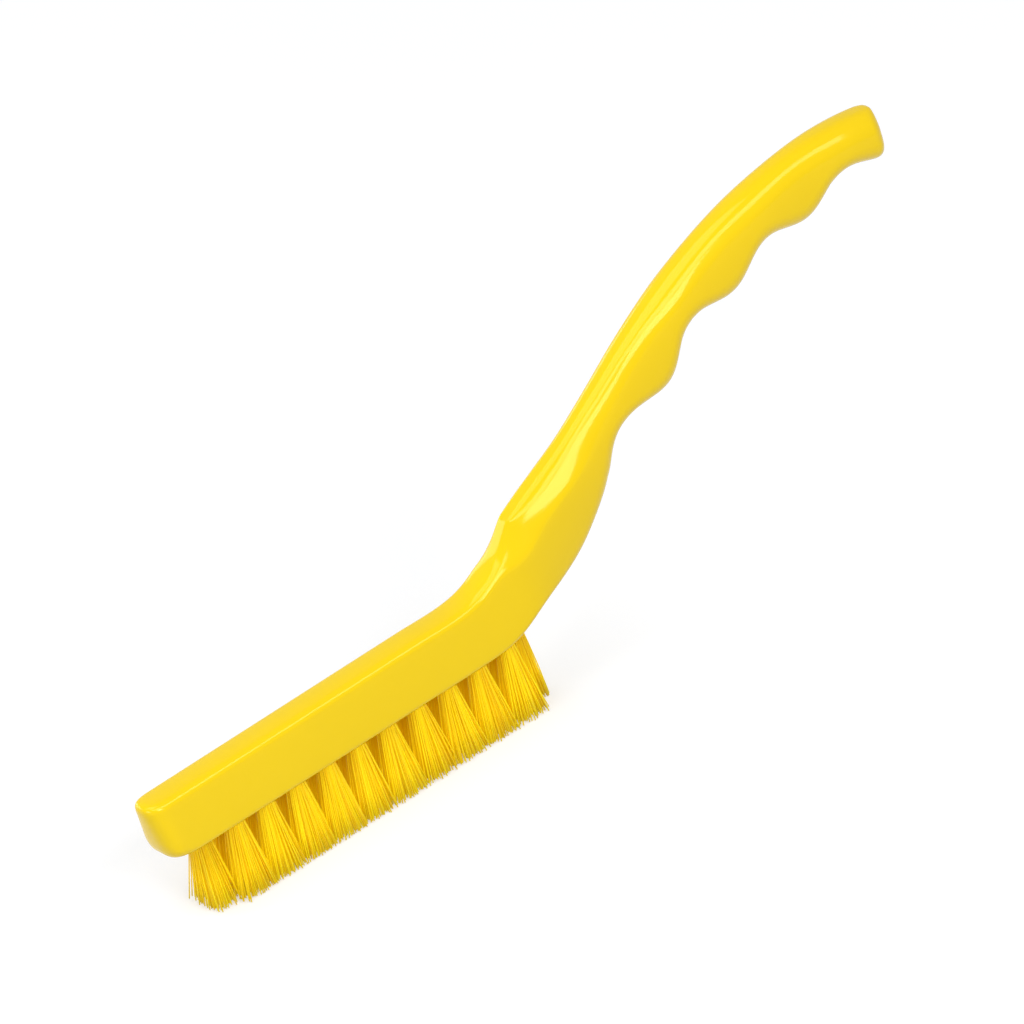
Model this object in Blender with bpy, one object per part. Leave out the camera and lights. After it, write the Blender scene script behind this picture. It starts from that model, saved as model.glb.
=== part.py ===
"""Narrow detail brush: a one-piece moulded body, its bristle tufts and their wire anchors.

Ten pairs of tufts stand side by side along the head, with one tuft on the middle line before them at
the toe and one behind them at the heel.

The brush stands on its bristle tips on z = 0, with the toe at -X, the grip rising toward +X
and the width along Y. The origin is the bottom centre of the whole brush. Sizes are in
millimetres here and are turned into metres when a mesh is made.
"""

import math

import bmesh
import bpy
from mathutils import Vector

MM = 0.001

# Clearance that neighbouring pieces keep, and the number of sides of round things
CLEARANCE = 0.3
BODY_SIDES = 28
HOLE_SIDES = 12

# Head of the body
HEAD_LENGTH = 92.3
HEAD_WIDTH = 12.0
HEAD_HEIGHT = 13.5
HEAD_TOP_NARROWING = 0.36
GRIP_TOP_NARROWING = 0.2
TOE_NOSE_LENGTH = 4.5
TOE_NOSE_EXPONENT = 3.0
TOE_SLANT = 2.3
TOE_TOP_ROUNDING = 1.1
TOE_BASE_ROUNDING = 4.1

# Neck and grip, measured from the heel end of the head
HEEL_CURVE = 10.0
STRAIGHT_MARGIN = 10.0
STATION_GAP = 4.0
NECK_RUN = 41.5
NECK_RISE = 25.4
SHOULDER_SHARE = 0.4535
NECK_WIDTH = 10.9
NECK_HEIGHT = 14.1
GRIP_RUN = 84.8
GRIP_RISE = 24.0
GRIP_WIDTH = 12.6
GRIP_HEIGHT = 14.1
END_ROUNDING = 1.7

# Finger grooves under the grip
GROOVE_COUNT = 4
GROOVE_PITCH = 22.3
GROOVE_DEPTH = 3.95

# Section shape: a high exponent is square, 2 is an ellipse
HEAD_TOP_EXPONENT = 4.4
HEAD_BASE_EXPONENT = 5.0
GRIP_TOP_EXPONENT = 3.4
GRIP_BASE_EXPONENT = 2.7

# Tufts
TUFTS_PER_ROW = 10
TUFT_PITCH = 8.0
FIRST_PAIR_FROM_TOE = 19.8
TOE_TUFT_BEFORE_PAIRS = 7.4
HEEL_TUFT_AFTER_PAIRS = 4.0
ROW_OFFSET = 2.5
BRISTLE_TRIM = 16.8
TUFT_LEAN_OUT = 1.75
TOE_TUFT_LEAN = -0.4
HEEL_TUFT_LEAN = 1.5
TUFT_TIP_DIAMETER = 6.6
TOE_TUFT_TIP_DIAMETER = 7.4
HEEL_TUFT_TIP_DIAMETER = 4.9
STRAND_RINGS = (1, 5, 10)
STRAND_ROOT_THICKNESS = 0.40
STRAND_TIP_THICKNESS = 0.85
STRAND_ROOT_DEPTH = 0.5

# Tuft holes and wire anchors
HOLE_DIAMETER = 4.0
HOLE_DEPTH = 8.0
FOLD_THICKNESS = 1.2
ANCHOR_THICKNESS = 0.4
ANCHOR_HEIGHT = 1.8
ANCHOR_LENGTH = 5.0

YELLOW_PLASTIC = ((0.95, 0.72, 0.01, 1.0), 0.22, 0.0)
YELLOW_FILAMENT = ((0.96, 0.74, 0.02, 1.0), 0.45, 0.0)
STAINLESS_WIRE = ((0.62, 0.62, 0.60, 1.0), 0.35, 1.0)


def clear_scene():
    """Remove every object that the scene starts with."""
    for obj in list(bpy.data.objects):
        bpy.data.objects.remove(obj, do_unlink=True)


def make_material(name, finish):
    """Principled material from a colour, a roughness and a metallic value."""
    colour, roughness, metallic = finish
    material = bpy.data.materials.new(name)
    material.use_nodes = True
    shader = material.node_tree.nodes["Principled BSDF"]
    shader.inputs["Base Color"].default_value = colour
    shader.inputs["Roughness"].default_value = roughness
    shader.inputs["Metallic"].default_value = metallic
    material.diffuse_color = colour
    return material


def make_object(name, bm, material=None):
    """Turn a bmesh in millimetres into an object in metres."""
    bmesh.ops.scale(bm, vec=Vector((MM, MM, MM)), verts=bm.verts)
    bmesh.ops.recalc_face_normals(bm, faces=bm.faces)
    mesh = bpy.data.meshes.new(name)
    bm.to_mesh(mesh)
    bm.free()
    obj = bpy.data.objects.new(name, mesh)
    bpy.context.scene.collection.objects.link(obj)
    if material is not None:
        mesh.materials.append(material)
    return obj


def bake_booleans(obj, steps):
    """Apply boolean steps, each an operation and its tool object, and remove the tools."""
    for operation, tool in steps:
        modifier = obj.modifiers.new(operation.lower(), "BOOLEAN")
        modifier.operation = operation
        modifier.solver = "EXACT"
        modifier.object = tool
    bpy.context.view_layer.update()
    evaluated = obj.evaluated_get(bpy.context.evaluated_depsgraph_get())
    result = bpy.data.meshes.new_from_object(evaluated)
    result.name = obj.name
    obj.modifiers.clear()
    old_mesh = obj.data
    obj.data = result
    bpy.data.meshes.remove(old_mesh)
    for _, tool in steps:
        bpy.data.objects.remove(tool, do_unlink=True)


def smooth_step(value):
    """Ease from 0 to 1 with level ends."""
    value = min(max(value, 0.0), 1.0)
    return value * value * (3.0 - 2.0 * value)


def blend(first, second, share):
    """Straight blend between two numbers."""
    return first + (second - first) * share


def curve_point(points, place):
    """Point at a place from 0 to 1 along a smooth Catmull-Rom curve through the points."""
    spans = len(points) - 1
    scaled = min(max(place, 0.0), 1.0) * spans
    index = min(int(scaled), spans - 1)
    t = scaled - index
    before = points[max(index - 1, 0)]
    start = points[index]
    end = points[index + 1]
    after = points[min(index + 2, spans)]
    result = []
    for a, b, c, d in zip(before, start, end, after):
        result.append(0.5 * (2 * b + (c - a) * t + (2 * a - 5 * b + 4 * c - d) * t * t
                             + (3 * b - a - 3 * c + d) * t ** 3))
    return result


def handle_outline():
    """Design stations of the neck and grip, from the straight head to the grip's end.

    Each holds the top edge point, the underside point and the width. The underside follows the
    crests between the finger grooves.
    """
    heel = HEAD_LENGTH - HEEL_CURVE
    neck_x = heel + NECK_RUN
    neck_top = HEAD_HEIGHT + NECK_RISE
    end_x = neck_x + GRIP_RUN
    end_top = neck_top + GRIP_RISE
    shoulder_x = heel + SHOULDER_SHARE * NECK_RUN
    shoulder_top = HEAD_HEIGHT + 0.507 * NECK_RISE
    mid_x = blend(neck_x, end_x, 0.34)
    mid_top = blend(neck_top, end_top, 0.687)
    late_top = blend(mid_top, end_top, 0.862)
    waist = blend(HEAD_WIDTH, NECK_WIDTH, 0.5)
    return (
        (heel - STRAIGHT_MARGIN, HEAD_HEIGHT, heel - STRAIGHT_MARGIN, 0.0, HEAD_WIDTH),
        (heel, HEAD_HEIGHT - 0.1, heel + 1.0, 0.0, HEAD_WIDTH),
        (heel + 7.0, HEAD_HEIGHT + 1.5, heel + 10.4, 0.7, HEAD_WIDTH),
        (heel + 13.5, HEAD_HEIGHT + 6.0, heel + 20.0, 4.8, HEAD_WIDTH),
        (shoulder_x, shoulder_top, heel + 31.7, 10.1, waist),
        (shoulder_x + 8.0, shoulder_top + 4.2, heel + 41.0, neck_top - 1.42 * NECK_HEIGHT, waist),
        (neck_x - 6.0, neck_top - 4.2, neck_x + 4.8, neck_top - 0.95 * NECK_HEIGHT, NECK_WIDTH),
        (neck_x + 4.0, neck_top + 2.2, neck_x + 13.0, neck_top - 0.73 * NECK_HEIGHT, NECK_WIDTH),
        (neck_x + 14.0, neck_top + 8.9, neck_x + 21.5, neck_top + 8.9 - GRIP_HEIGHT,
         blend(NECK_WIDTH, GRIP_WIDTH, 0.6)),
        (mid_x - 1.0, mid_top, mid_x + 5.2, mid_top - 0.95 * GRIP_HEIGHT, GRIP_WIDTH),
        (blend(mid_x, end_x, 0.29), late_top, blend(mid_x, end_x, 0.36), late_top - 1.12 * GRIP_HEIGHT,
         GRIP_WIDTH),
        (blend(mid_x, end_x, 0.61), end_top + 2.2, blend(mid_x, end_x, 0.65),
         end_top + 1.6 - GRIP_HEIGHT, GRIP_WIDTH),
        (blend(mid_x, end_x, 0.83), end_top + 2.3, blend(mid_x, end_x, 0.84),
         end_top + 2.15 - 0.97 * GRIP_HEIGHT, GRIP_WIDTH),
        (end_x, end_top + 0.9, end_x - 0.4, end_top + 0.2 - 0.73 * GRIP_HEIGHT, GRIP_WIDTH),
    )


def groove_depth_at(run):
    """Depth of the finger grooves at a distance before the grip's end, measured along the underside."""
    first = 0.5 * GROOVE_PITCH
    place = (run - first) / GROOVE_PITCH
    if place < -0.5 or place > GROOVE_COUNT - 0.5:
        return 0.0
    return GROOVE_DEPTH * (0.5 + 0.5 * math.cos(2.0 * math.pi * place))


def body_stations():
    """Sections from toe to grip end: top point, underside point, width and how far it is grip."""
    stations = toe_stations() + straight_stations() + handle_stations()
    end_top, end_low, end_width, _ = stations.pop()
    stations += end_stations(Vector(end_top), Vector(end_low), end_width)
    lift = BRISTLE_TRIM
    return [((tx, tz + lift), (bx, bz + lift), width, share)
            for (tx, tz), (bx, bz), width, share in stations]


def toe_stations():
    """Sections of the rounded toe, which slants back at its base."""
    stations = []
    nose_steps = 6
    for step in range(nose_steps + 1):
        angle = 0.5 * math.pi * (step + 0.45) / (nose_steps + 0.45)
        x = TOE_NOSE_LENGTH * (1.0 - math.cos(angle))
        reach = 1.0 - x / TOE_NOSE_LENGTH
        fill = (1.0 - reach ** TOE_NOSE_EXPONENT) ** (1.0 / TOE_NOSE_EXPONENT)
        top = HEAD_HEIGHT - TOE_TOP_ROUNDING * (1.0 - fill)
        low = TOE_BASE_ROUNDING * (1.0 - fill)
        stations.append(((x, top), (x + TOE_SLANT * reach, low), HEAD_WIDTH * fill, 0.0))
    return stations


def straight_stations():
    """Sections of the straight head between the toe and the neck."""
    stations = []
    head_steps = 5
    straight_end = HEAD_LENGTH - HEEL_CURVE - STRAIGHT_MARGIN
    for step in range(1, head_steps + 1):
        share = step / head_steps
        x = blend(TOE_NOSE_LENGTH, straight_end - STATION_GAP, share)
        stations.append(((x, HEAD_HEIGHT), (x, 0.0), HEAD_WIDTH, 0.0))
    return stations


def handle_stations():
    """Sections of the neck and grip, with the finger grooves cut into the underside."""
    stations = []
    outline = handle_outline()
    handle_steps = 60
    raw = [curve_point(outline, step / handle_steps) for step in range(handle_steps + 1)]
    runs = [0.0]
    for later, earlier in zip(reversed(raw[1:]), reversed(raw[:-1])):
        runs.append(runs[-1] + math.hypot(later[2] - earlier[2], later[3] - earlier[3]))
    runs.reverse()
    for step, (top_x, top_z, low_x, low_z, width) in enumerate(raw):
        depth = groove_depth_at(runs[step])
        across = Vector((top_x - low_x, top_z - low_z))
        low = Vector((low_x, low_z)) + across.normalized() * depth
        grip_share = smooth_step((step / handle_steps - 0.15) / 0.35)
        stations.append(((top_x, top_z), (low.x, low.y), width, grip_share))
    return stations


def end_stations(top, low, width):
    """Sections that round off the end of the grip."""
    stations = []
    forward = Vector((top.y - low.y, low.x - top.x)).normalized()
    middle = (top + low) * 0.5
    end_steps = 5
    for step in range(end_steps + 1):
        angle = 0.5 * math.pi * step / (end_steps + 0.35)
        shift = forward * END_ROUNDING * (math.sin(angle) - 1.0)
        inset = END_ROUNDING * (1.0 - math.cos(angle)) * 0.8
        half = (top - low) * 0.5
        trimmed = half * (1.0 - inset / half.length)
        new_top = middle + trimmed + shift
        new_low = middle - trimmed + shift
        stations.append(((new_top.x, new_top.y), (new_low.x, new_low.y), width - 2.0 * inset, 1.0))
    return stations


def section_ring(station):
    """Points of one section: a rounded rectangle in the head that turns rounder in the grip."""
    (top_x, top_z), (low_x, low_z), width, grip_share = station
    centre = Vector(((top_x + low_x) / 2, 0.0, (top_z + low_z) / 2))
    up = Vector(((top_x - low_x) / 2, 0.0, (top_z - low_z) / 2))
    narrowing = blend(HEAD_TOP_NARROWING, GRIP_TOP_NARROWING, grip_share)
    points = []
    for index in range(BODY_SIDES):
        angle = 2.0 * math.pi * (index + 0.5) / BODY_SIDES
        rise = math.sin(angle)
        side = math.cos(angle)
        if rise > 0:
            exponent = blend(HEAD_TOP_EXPONENT, GRIP_TOP_EXPONENT, grip_share)
        else:
            exponent = blend(HEAD_BASE_EXPONENT, GRIP_BASE_EXPONENT, grip_share)
        height = math.copysign(abs(rise) ** (2.0 / exponent), rise)
        reach = math.copysign(abs(side) ** (2.0 / exponent), side)
        reach *= 1.0 - narrowing * (0.5 + 0.5 * height)
        points.append(centre + up * height + Vector((0.0, reach * width / 2, 0.0)))
    return points


def build_body(material):
    """Loft the moulded body through its sections and close both ends."""
    bm = bmesh.new()
    rings = []
    for station in body_stations():
        rings.append([bm.verts.new(point) for point in section_ring(station)])
    for ring, following in zip(rings[:-1], rings[1:]):
        for index in range(BODY_SIDES):
            after = (index + 1) % BODY_SIDES
            bm.faces.new((ring[index], ring[after], following[after], following[index]))
    for ring in (rings[0], rings[-1]):
        bm.faces.new(ring)
    body = make_object("brush_body", bm, material)
    return body


def underside_height(x):
    """Height of the body's underside at a distance from the toe."""
    lows = [low for _, low, _, _ in body_stations()]
    for (x1, z1), (x2, z2) in zip(lows[:-1], lows[1:]):
        if x1 <= x <= x2:
            return blend(z1, z2, (x - x1) / (x2 - x1))
    return BRISTLE_TRIM


def tuft_places():
    """Name, root point, tip point and tip diameter of each tuft, in millimetres from the toe."""
    places = []
    for row, side in (("near", -1.0), ("far", 1.0)):
        for index in range(TUFTS_PER_ROW):
            x = FIRST_PAIR_FROM_TOE + index * TUFT_PITCH
            root = Vector((x, side * ROW_OFFSET, BRISTLE_TRIM))
            tip = Vector((x, side * (ROW_OFFSET + TUFT_LEAN_OUT), 0.0))
            places.append((f"{row}_{index + 1:02d}", root, tip, TUFT_TIP_DIAMETER))
    toe_x = FIRST_PAIR_FROM_TOE - TOE_TUFT_BEFORE_PAIRS
    heel_x = FIRST_PAIR_FROM_TOE + (TUFTS_PER_ROW - 1) * TUFT_PITCH + HEEL_TUFT_AFTER_PAIRS
    for name, x, lean, tip_diameter in (("toe", toe_x, -TOE_TUFT_LEAN, TOE_TUFT_TIP_DIAMETER),
                                        ("heel", heel_x, HEEL_TUFT_LEAN, HEEL_TUFT_TIP_DIAMETER)):
        root = Vector((x, 0.0, underside_height(x)))
        places.append((name, root, Vector((x + lean, 0.0, 0.0)), tip_diameter))
    return places


def add_cylinder(bm, centre, diameter, low_z, high_z, sides):
    """Add a closed upright cylinder to a bmesh."""
    made = bmesh.ops.create_cone(bm, cap_ends=True, segments=sides, radius1=diameter / 2,
                                 radius2=diameter / 2, depth=high_z - low_z)
    middle = Vector((centre.x, centre.y, (low_z + high_z) / 2))
    bmesh.ops.translate(bm, vec=middle, verts=made["verts"])


def add_box(bm, centre, size):
    """Add a closed box to a bmesh."""
    made = bmesh.ops.create_cube(bm, size=1.0)
    bmesh.ops.scale(bm, vec=Vector(size), verts=made["verts"])
    bmesh.ops.translate(bm, vec=centre, verts=made["verts"])


def anchor_centre(root):
    """Middle of the anchor that holds a tuft, above its root point in the hole."""
    top = root.z + HOLE_DEPTH - CLEARANCE - FOLD_THICKNESS - CLEARANCE
    return Vector((root.x, root.y, top - ANCHOR_HEIGHT / 2))


def drill_body(body, places):
    """Cut the blind tuft holes, each with a pocket for the ends of its anchor."""
    bm = bmesh.new()
    for _, root, _, _ in places:
        add_cylinder(bm, root, HOLE_DIAMETER, root.z - 2.0, root.z + HOLE_DEPTH, HOLE_SIDES)
    holes = make_object("hole_tool", bm)
    bm = bmesh.new()
    for _, root, _, _ in places:
        size = (ANCHOR_LENGTH + 2 * CLEARANCE, ANCHOR_THICKNESS + 2 * CLEARANCE, ANCHOR_HEIGHT + 2 * CLEARANCE)
        add_box(bm, anchor_centre(root), size)
    pockets = make_object("pocket_tool", bm)
    bake_booleans(body, [("DIFFERENCE", holes), ("DIFFERENCE", pockets)])


def strand_layout():
    """Ring share and angle of each strand in a tuft, from the middle outward."""
    layout = []
    outer = len(STRAND_RINGS) - 1
    for ring, count in enumerate(STRAND_RINGS):
        for index in range(count):
            angle = 2.0 * math.pi * (index + 0.5 * (ring % 2)) / count
            layout.append((ring / outer, angle))
    return layout


def add_strand(bm, start, end, start_thickness, end_thickness, turn):
    """Add one closed four-sided strand that widens toward its flat tip."""
    rings = []
    for point, thickness in ((start, start_thickness), (end, end_thickness)):
        ring = []
        for corner in range(4):
            angle = turn + math.pi * (0.25 + 0.5 * corner)
            offset = Vector((math.cos(angle), math.sin(angle), 0.0)) * thickness / math.sqrt(2.0)
            ring.append(bm.verts.new(point + offset))
        rings.append(ring)
    first, second = rings
    bm.faces.new(first)
    bm.faces.new(second[::-1])
    for corner in range(4):
        after = (corner + 1) % 4
        bm.faces.new((first[after], first[corner], second[corner], second[after]))


def build_tuft(name, root, tip, tip_diameter, material):
    """One tuft: a root plug folded round its anchor, with fanned strands cut flat at their tips."""
    plug_diameter = HOLE_DIAMETER - 2 * CLEARANCE
    bm = bmesh.new()
    add_cylinder(bm, root, plug_diameter, root.z, root.z + HOLE_DEPTH - CLEARANCE, HOLE_SIDES)
    tuft = make_object(f"tuft_{name}", bm, material)
    bm = bmesh.new()
    slot = (2 * HOLE_DIAMETER, ANCHOR_THICKNESS + 2 * CLEARANCE, ANCHOR_HEIGHT + 2 * CLEARANCE)
    add_box(bm, anchor_centre(root), slot)
    slot_tool = make_object("slot_tool", bm)
    bm = bmesh.new()
    root_radius = plug_diameter / 2 - 0.75 * STRAND_ROOT_THICKNESS - 0.1
    for share, angle in strand_layout():
        direction = Vector((math.cos(angle), math.sin(angle), 0.0)) * share
        start = root + direction * root_radius + Vector((0.0, 0.0, STRAND_ROOT_DEPTH))
        end = tip + direction * tip_diameter / 2
        add_strand(bm, start, end, STRAND_ROOT_THICKNESS, STRAND_TIP_THICKNESS, angle)
    strands = make_object("strand_tool", bm)
    bake_booleans(tuft, [("DIFFERENCE", slot_tool), ("UNION", strands)])
    return tuft


def build_anchor(name, root, material):
    """Flat wire anchor that lies across the bottom of a tuft hole."""
    bm = bmesh.new()
    add_box(bm, anchor_centre(root), (ANCHOR_LENGTH, ANCHOR_THICKNESS, ANCHOR_HEIGHT))
    return make_object(f"anchor_{name}", bm, material)


def centre_on_origin(objects, body):
    """Hang everything on one empty that puts the brush's bottom centre on the origin."""
    along = [vertex.co.x for vertex in body.data.vertices]
    origin = bpy.data.objects.new("brush_origin", None)
    bpy.context.scene.collection.objects.link(origin)
    origin.location.x = -0.5 * (min(along) + max(along))
    for obj in objects:
        obj.parent = origin


def build_brush():
    """Build every piece of the brush."""
    clear_scene()
    plastic = make_material("yellow_plastic", YELLOW_PLASTIC)
    filament = make_material("yellow_filament", YELLOW_FILAMENT)
    wire = make_material("stainless_wire", STAINLESS_WIRE)
    places = tuft_places()
    body = build_body(plastic)
    drill_body(body, places)
    body.data.shade_smooth()
    body.data.set_sharp_from_angle(angle=math.radians(35.0))
    pieces = [body]
    for name, root, tip, tip_diameter in places:
        pieces.append(build_tuft(name, root, tip, tip_diameter, filament))
        pieces.append(build_anchor(name, root, wire))
    centre_on_origin(pieces, body)


build_brush()
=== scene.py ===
"""Narrow detail brush, dressed for its studio picture.

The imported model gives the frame. The moulded body and each bristle tuft are modelled here once more
with finer shapes and take the place of their plain nodes, and the wire anchors keep their nodes and
get a drawn steel finish. Lengths are in millimetres until a mesh is finished, which turns it into
metres. The brush stands on its bristle tips on z = 0 with the toe at -X and the near row at -Y.
"""

from __future__ import annotations

import logging
import math
import random
from dataclasses import dataclass, field
from enum import Enum
from functools import cached_property
from typing import Any, Union

import bmesh
import bpy
import numpy as np
from mathutils import Matrix, Vector

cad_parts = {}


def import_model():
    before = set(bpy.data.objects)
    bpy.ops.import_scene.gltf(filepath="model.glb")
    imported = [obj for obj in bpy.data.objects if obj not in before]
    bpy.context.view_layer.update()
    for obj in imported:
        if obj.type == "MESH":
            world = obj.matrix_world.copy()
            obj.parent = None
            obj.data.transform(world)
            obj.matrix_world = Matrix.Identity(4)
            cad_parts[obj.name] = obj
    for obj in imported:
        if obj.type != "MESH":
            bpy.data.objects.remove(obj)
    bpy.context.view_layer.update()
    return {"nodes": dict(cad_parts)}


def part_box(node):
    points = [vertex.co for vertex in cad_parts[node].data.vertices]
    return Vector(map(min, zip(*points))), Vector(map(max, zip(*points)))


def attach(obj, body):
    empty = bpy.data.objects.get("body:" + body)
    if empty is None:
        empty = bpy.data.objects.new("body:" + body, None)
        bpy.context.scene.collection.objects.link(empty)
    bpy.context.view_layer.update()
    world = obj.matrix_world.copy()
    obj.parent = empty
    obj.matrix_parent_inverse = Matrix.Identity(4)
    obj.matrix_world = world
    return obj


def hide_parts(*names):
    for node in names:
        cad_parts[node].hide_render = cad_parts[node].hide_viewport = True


LOG = logging.getLogger("detail_brush")
MM = 0.001
TINY = 1e-6

Colour = tuple[float, float, float, float]
Number = Union["Signal", float]
WHITE: Colour = (1.0, 1.0, 1.0, 1.0)


class Row(Enum):
    """The two rows of tufts: label and side across the head."""

    NEAR = ("near", -1.0)
    FAR = ("far", 1.0)

    @property
    def label(self) -> str:
        """Word for the row in node names."""
        return self.value[0]

    @property
    def side(self) -> float:
        """Sign of the row's place across the head."""
        return self.value[1]


class Slot(Enum):
    """Material slots of the record."""

    BODY = "body_plastic"
    FILAMENT = "bristle_filament"
    WIRE = "anchor_wire"


def clamp(value: float) -> float:
    """Keep a number between 0 and 1."""
    return min(max(value, 0.0), 1.0)


def ease(value: float) -> float:
    """Ease from 0 to 1 with level ends."""
    value = clamp(value)
    return value * value * (3.0 - 2.0 * value)


def blend(first: float, second: float, share: float) -> float:
    """Straight blend between two numbers."""
    return first + (second - first) * share


def finish_piece(name: str, bm: bmesh.types.BMesh, material: bpy.types.Material) -> bpy.types.Object:
    """Turn a bmesh in millimetres into a smooth object in metres that rides on the brush.

    Args:
        name: Name of the new piece.
        bm: Its mesh, which is freed.
        material: The finish of the whole piece.

    Returns:
        The object, at the origin, with its place in its mesh.
    """
    bmesh.ops.scale(bm, vec=Vector((MM, MM, MM)), verts=bm.verts)
    bmesh.ops.recalc_face_normals(bm, faces=bm.faces)
    mesh = bpy.data.meshes.new(name)
    bm.to_mesh(mesh)
    bm.free()
    mesh.shade_smooth()
    mesh.materials.append(material)
    piece = bpy.data.objects.new(name, mesh)
    bpy.context.scene.collection.objects.link(piece)
    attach(piece, "root")
    return piece


@dataclass(frozen=True)
class Signal:
    """A number that flows between nodes and takes part in Python expressions."""

    graph: "Graph"
    socket: bpy.types.NodeSocket

    def _math(self, operation: str, first: Number, second: Number) -> "Signal":
        """Add one Math node for two values."""
        made = self.graph.node("ShaderNodeMath", {"operation": operation}, {0: first, 1: second})
        return Signal(self.graph, made.outputs[0])

    def __add__(self, other: Number) -> "Signal":
        """Sum."""
        return self._math("ADD", self, other)

    def __radd__(self, other: Number) -> "Signal":
        """Sum with a plain number first."""
        return self._math("ADD", other, self)

    def __sub__(self, other: Number) -> "Signal":
        """Difference."""
        return self._math("SUBTRACT", self, other)

    def __rsub__(self, other: Number) -> "Signal":
        """Difference with a plain number first."""
        return self._math("SUBTRACT", other, self)

    def __mul__(self, other: Number) -> "Signal":
        """Product."""
        return self._math("MULTIPLY", self, other)

    def __rmul__(self, other: Number) -> "Signal":
        """Product with a plain number first."""
        return self._math("MULTIPLY", other, self)

    def __pow__(self, other: Number) -> "Signal":
        """Power."""
        return self._math("POWER", self, other)

    def __rpow__(self, other: Number) -> "Signal":
        """Power of a plain number."""
        return self._math("POWER", other, self)

    def at_least(self, other: Number) -> "Signal":
        """The larger of two values."""
        return self._math("MAXIMUM", self, other)

    def fit(self, low: float, high: float, new_low: float = 0.0, new_high: float = 1.0) -> "Signal":
        """Map one range onto another and clamp the result.

        Args:
            low: Value that becomes new_low.
            high: Value that becomes new_high.
            new_low: Result at low.
            new_high: Result at high.

        Returns:
            The mapped value.
        """
        made = self.graph.node("ShaderNodeMapRange", {"clamp": True},
                               {"Value": self, "From Min": low, "From Max": high,
                                "To Min": new_low, "To Max": new_high})
        return Signal(self.graph, made.outputs["Result"])


class Graph:
    """The node tree of one material or world, filled by short calls."""

    def __init__(self, owner: bpy.types.Material | bpy.types.World) -> None:
        """Start with an empty tree.

        Args:
            owner: The material or world that the tree belongs to.
        """
        owner.use_nodes = True
        self.owner = owner
        self.tree = owner.node_tree
        self.tree.nodes.clear()

    def node(self, kind: str, settings: dict[str, Any] | None = None,
             sockets: dict[Any, Any] | None = None) -> bpy.types.Node:
        """Add one node.

        Args:
            kind: The node's type.
            settings: Its properties, set first.
            sockets: Values or links of its inputs, by name or number.

        Returns:
            The node.
        """
        made = self.tree.nodes.new(kind)
        for key, value in (settings or {}).items():
            setattr(made, key, value)
        for key, value in (sockets or {}).items():
            if isinstance(value, Signal):
                self.tree.links.new(value.socket, made.inputs[key])
            elif isinstance(value, bpy.types.NodeSocket):
                self.tree.links.new(value, made.inputs[key])
            else:
                made.inputs[key].default_value = value
        return made

    def place(self, scale: tuple[float, float, float] = (1.0, 1.0, 1.0)) -> bpy.types.NodeSocket:
        """Object coordinates in metres, stretched along the axes.

        Args:
            scale: Factor along each axis.

        Returns:
            The coordinates.
        """
        source = self.node("ShaderNodeTexCoord")
        mapped = self.node("ShaderNodeMapping", None, {"Vector": source.outputs["Object"], "Scale": scale})
        return mapped.outputs["Vector"]

    def noise(self, scale: float, detail: float = 2.0, roughness: float = 0.5,
              stretch: tuple[float, float, float] = (1.0, 1.0, 1.0)) -> Signal:
        """Noise over the piece.

        Args:
            scale: Waves per metre.
            detail: Number of finer octaves.
            roughness: Share of each finer octave.
            stretch: Factor of the scale along each axis.

        Returns:
            The noise's value, from 0 to 1.
        """
        made = self.node("ShaderNodeTexNoise", None,
                         {"Vector": self.place(stretch), "Scale": scale, "Detail": detail,
                          "Roughness": roughness})
        return Signal(self, made.outputs["Fac"])

    def read(self, kind: str, output: str, settings: dict[str, Any] | None = None) -> Signal:
        """One output of a new source node."""
        return Signal(self, self.node(kind, settings).outputs[output])

    def mix_colour(self, factor: Number, first: Any, second: Any) -> bpy.types.NodeSocket:
        """Blend two colours by a factor."""
        made = self.node("ShaderNodeMix", {"data_type": "RGBA"}, {0: factor, 6: first, 7: second})
        return made.outputs[2]

    def bump(self, height: Signal, distance: float, strength: float = 1.0,
             below: bpy.types.NodeSocket | None = None) -> bpy.types.NodeSocket:
        """Raise the surface by a height.

        Args:
            height: Value from 0 to 1.
            distance: Height of 1 in metres.
            strength: Share of the effect.
            below: Normal of a bump under this one.

        Returns:
            The new normal.
        """
        sockets: dict[Any, Any] = {"Height": height, "Distance": distance, "Strength": strength}
        if below is not None:
            sockets["Normal"] = below
        return self.node("ShaderNodeBump", None, sockets).outputs["Normal"]

    def surface(self, **sockets: Any) -> bpy.types.Material:
        """Close the tree with a Principled shader.

        Args:
            sockets: Inputs of the shader, with underscores for the spaces in their names.

        Returns:
            The material.
        """
        named = {key.replace("_", " "): value for key, value in sockets.items()}
        shader = self.node("ShaderNodeBsdfPrincipled", None, named)
        self.node("ShaderNodeOutputMaterial", None, {"Surface": shader.outputs["BSDF"]})
        return self.owner


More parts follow.
